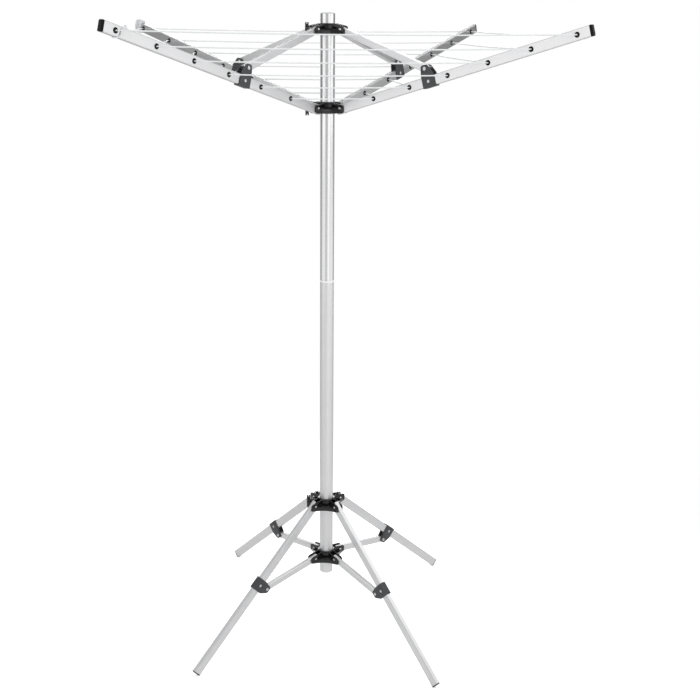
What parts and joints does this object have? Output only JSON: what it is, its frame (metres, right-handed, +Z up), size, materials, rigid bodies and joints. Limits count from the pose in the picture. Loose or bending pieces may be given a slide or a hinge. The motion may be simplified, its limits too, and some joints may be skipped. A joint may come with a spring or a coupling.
{
  "type": "rotary clothesline",
  "caption": "Free-standing rotary clothesline: a mast on folding legs with a turning head of folding arms that carry square rounds of line.",
  "frame": {"origin": "on the ground under the mast axis, between the four feet", "axes": "+Z up the mast, the four head arms on the diagonals of X and Y"},
  "size_m": [1.0352, 1.0352, 1.752],
  "materials": {
    "aluminium": "satin",
    "black_gloss": "gloss",
    "black_matte": "matte",
    "charcoal": "matte",
    "steel": "satin",
    "line": "matte",
    "white_plastic": "matte",
    "grey_plastic": "matte"
  },
  "bodies": {
    "base_mast": {"lower_mast": "aluminium", "mast_bush": "white_plastic", "base_lower_hub": "black_gloss", "base_lower_rivets": "steel"},
    "base_slider": {"base_upper_hub": "black_gloss", "base_upper_rivets": "steel"},
    "base_knob": {"base_knob": "black_gloss"},
    "head_mast": {"upper_mast": "aluminium", "mast_cap": "grey_plastic", "head_upper_hub": "black_gloss", "head_upper_rivets": "steel", "clothes_line": "line"},
    "upper_knob": {"upper_knob": "black_gloss"},
    "head_slider": {"head_lower_hub": "black_gloss", "head_lower_rivets": "steel"},
    "lower_knob": {"lower_knob": "black_gloss"},
    "leg_1": {"leg_tube_1": "aluminium", "leg_foot_1": "black_matte", "leg_bracket_1": "charcoal", "leg_pin_1": "steel"},
    "leg_strut_1": {"leg_strut_1": "aluminium"},
    "arm_1": {"arm_tube_1": "aluminium", "arm_cap_1": "black_matte", "arm_bracket_1": "charcoal", "arm_pin_1": "steel", "arm_eyelets_1": "black_matte"},
    "strut_1": {"strut_1": "aluminium"},
    "leg_2": {"leg_tube_2": "aluminium", "leg_foot_2": "black_matte", "leg_bracket_2": "charcoal", "leg_pin_2": "steel"},
    "leg_strut_2": {"leg_strut_2": "aluminium"},
    "arm_2": {"arm_tube_2": "aluminium", "arm_cap_2": "black_matte", "arm_bracket_2": "charcoal", "arm_pin_2": "steel", "arm_eyelets_2": "black_matte"},
    "strut_2": {"strut_2": "aluminium"},
    "leg_3": {"leg_tube_3": "aluminium", "leg_foot_3": "black_matte", "leg_bracket_3": "charcoal", "leg_pin_3": "steel"},
    "leg_strut_3": {"leg_strut_3": "aluminium"},
    "arm_3": {"arm_tube_3": "aluminium", "arm_cap_3": "black_matte", "arm_bracket_3": "charcoal", "arm_pin_3": "steel", "arm_eyelets_3": "black_matte"},
    "strut_3": {"strut_3": "aluminium"},
    "leg_4": {"leg_tube_4": "aluminium", "leg_foot_4": "black_matte", "leg_bracket_4": "charcoal", "leg_pin_4": "steel"},
    "leg_strut_4": {"leg_strut_4": "aluminium"},
    "arm_4": {"arm_tube_4": "aluminium", "arm_cap_4": "black_matte", "arm_bracket_4": "charcoal", "arm_pin_4": "steel", "arm_eyelets_4": "black_matte"},
    "strut_4": {"strut_4": "aluminium"}
  },
  "joints": [
    {"name": "head_spin", "type": "hinge", "parent": "base_mast", "child": "head_mast", "pos_m": [0, 0, 1.054], "axis": [0, 0, 1], "continuous": true},
    {"name": "arm_fold", "type": "slide", "parent": "head_mast", "child": "head_slider", "axis": [0, 0, -1], "range_m": [0, 0.3542], "deforming": ["clothes_line"]},
    {"name": "leg_fold", "type": "slide", "parent": "base_mast", "child": "base_slider", "axis": [0, 0, 1], "range_m": [0, 0.2811]},
    {"name": "strut_1_swing", "type": "hinge", "parent": "head_mast", "child": "strut_1", "pos_m": [-0.03323, -0.03323, 1.708], "axis": [0.7071, -0.7071, 0], "range_deg": [0, 71.65]},
    {"name": "arm_1_swing", "type": "hinge", "parent": "strut_1", "child": "arm_1", "pos_m": [-0.21413, -0.21413, 1.62311], "axis": [-0.7071, 0.7071, 0], "range_deg": [0, 138.75]},
    {"name": "strut_2_swing", "type": "hinge", "parent": "head_mast", "child": "strut_2", "pos_m": [0.03323, -0.03323, 1.708], "axis": [0.7071, 0.7071, 0], "range_deg": [0, 71.65]},
    {"name": "arm_2_swing", "type": "hinge", "parent": "strut_2", "child": "arm_2", "pos_m": [0.21413, -0.21413, 1.62311], "axis": [-0.7071, -0.7071, 0], "range_deg": [0, 138.75]},
    {"name": "strut_3_swing", "type": "hinge", "parent": "head_mast", "child": "strut_3", "pos_m": [0.03323, 0.03323, 1.708], "axis": [-0.7071, 0.7071, 0], "range_deg": [0, 71.65]},
    {"name": "arm_3_swing", "type": "hinge", "parent": "strut_3", "child": "arm_3", "pos_m": [0.21413, 0.21413, 1.62311], "axis": [0.7071, -0.7071, 0], "range_deg": [0, 138.75]},
    {"name": "strut_4_swing", "type": "hinge", "parent": "head_mast", "child": "strut_4", "pos_m": [-0.03323, 0.03323, 1.708], "axis": [-0.7071, -0.7071, 0], "range_deg": [0, 71.65]},
    {"name": "arm_4_swing", "type": "hinge", "parent": "strut_4", "child": "arm_4", "pos_m": [-0.21413, 0.21413, 1.62311], "axis": [0.7071, 0.7071, 0], "range_deg": [0, 138.75]},
    {"name": "leg_strut_1_swing", "type": "hinge", "parent": "base_mast", "child": "leg_strut_1", "pos_m": [-0.03906, -0.02615, 0.213], "axis": [-0.5563, 0.831, 0], "range_deg": [0, 99.52]},
    {"name": "leg_1_swing", "type": "hinge", "parent": "leg_strut_1", "child": "leg_1", "pos_m": [-0.18849, -0.12618, 0.18289], "axis": [0.5563, -0.831, 0], "range_deg": [0, 141.32]},
    {"name": "leg_strut_2_swing", "type": "hinge", "parent": "base_mast", "child": "leg_strut_2", "pos_m": [0.02615, -0.03906, 0.213], "axis": [-0.831, -0.5563, 0], "range_deg": [0, 99.52]},
    {"name": "leg_2_swing", "type": "hinge", "parent": "leg_strut_2", "child": "leg_2", "pos_m": [0.12618, -0.18849, 0.18289], "axis": [0.831, 0.5563, 0], "range_deg": [0, 141.32]},
    {"name": "leg_strut_3_swing", "type": "hinge", "parent": "base_mast", "child": "leg_strut_3", "pos_m": [0.03906, 0.02615, 0.213], "axis": [0.5563, -0.831, 0], "range_deg": [0, 99.52]},
    {"name": "leg_3_swing", "type": "hinge", "parent": "leg_strut_3", "child": "leg_3", "pos_m": [0.18849, 0.12618, 0.18289], "axis": [-0.5563, 0.831, 0], "range_deg": [0, 141.32]},
    {"name": "leg_strut_4_swing", "type": "hinge", "parent": "base_mast", "child": "leg_strut_4", "pos_m": [-0.02615, 0.03906, 0.213], "axis": [0.831, 0.5563, 0], "range_deg": [0, 99.52]},
    {"name": "leg_4_swing", "type": "hinge", "parent": "leg_strut_4", "child": "leg_4", "pos_m": [-0.12618, 0.18849, 0.18289], "axis": [-0.831, -0.5563, 0], "range_deg": [0, 141.32]},
    {"name": "upper_knob_turn", "type": "hinge", "parent": "head_mast", "child": "upper_knob", "pos_m": [0, 0, 1.708], "axis": [-1, 0, 0], "range_deg": [0, 360]},
    {"name": "lower_knob_turn", "type": "hinge", "parent": "head_slider", "child": "lower_knob", "pos_m": [0, 0, 1.515], "axis": [-1, 0, 0], "range_deg": [0, 360]},
    {"name": "base_knob_turn", "type": "hinge", "parent": "base_slider", "child": "base_knob", "pos_m": [0, 0, 0.384], "axis": [-0.981, 0.1942, 0], "range_deg": [0, 360]}
  ],
  "couplings": [
    {"joint": "strut_1_swing", "follows": "arm_fold", "rad_per_m": 3.5302},
    {"joint": "arm_1_swing", "follows": "arm_fold", "rad_per_m": 6.8362},
    {"joint": "strut_2_swing", "follows": "arm_fold", "rad_per_m": 3.5302},
    {"joint": "arm_2_swing", "follows": "arm_fold", "rad_per_m": 6.8362},
    {"joint": "strut_3_swing", "follows": "arm_fold", "rad_per_m": 3.5302},
    {"joint": "arm_3_swing", "follows": "arm_fold", "rad_per_m": 6.8362},
    {"joint": "strut_4_swing", "follows": "arm_fold", "rad_per_m": 3.5302},
    {"joint": "arm_4_swing", "follows": "arm_fold", "rad_per_m": 6.8362},
    {"joint": "leg_strut_1_swing", "follows": "leg_fold", "rad_per_m": 6.1783},
    {"joint": "leg_1_swing", "follows": "leg_fold", "rad_per_m": 8.7737},
    {"joint": "leg_strut_2_swing", "follows": "leg_fold", "rad_per_m": 6.1783},
    {"joint": "leg_2_swing", "follows": "leg_fold", "rad_per_m": 8.7737},
    {"joint": "leg_strut_3_swing", "follows": "leg_fold", "rad_per_m": 6.1783},
    {"joint": "leg_3_swing", "follows": "leg_fold", "rad_per_m": 8.7737},
    {"joint": "leg_strut_4_swing", "follows": "leg_fold", "rad_per_m": 6.1783},
    {"joint": "leg_4_swing", "follows": "leg_fold", "rad_per_m": 8.7737}
  ]
}
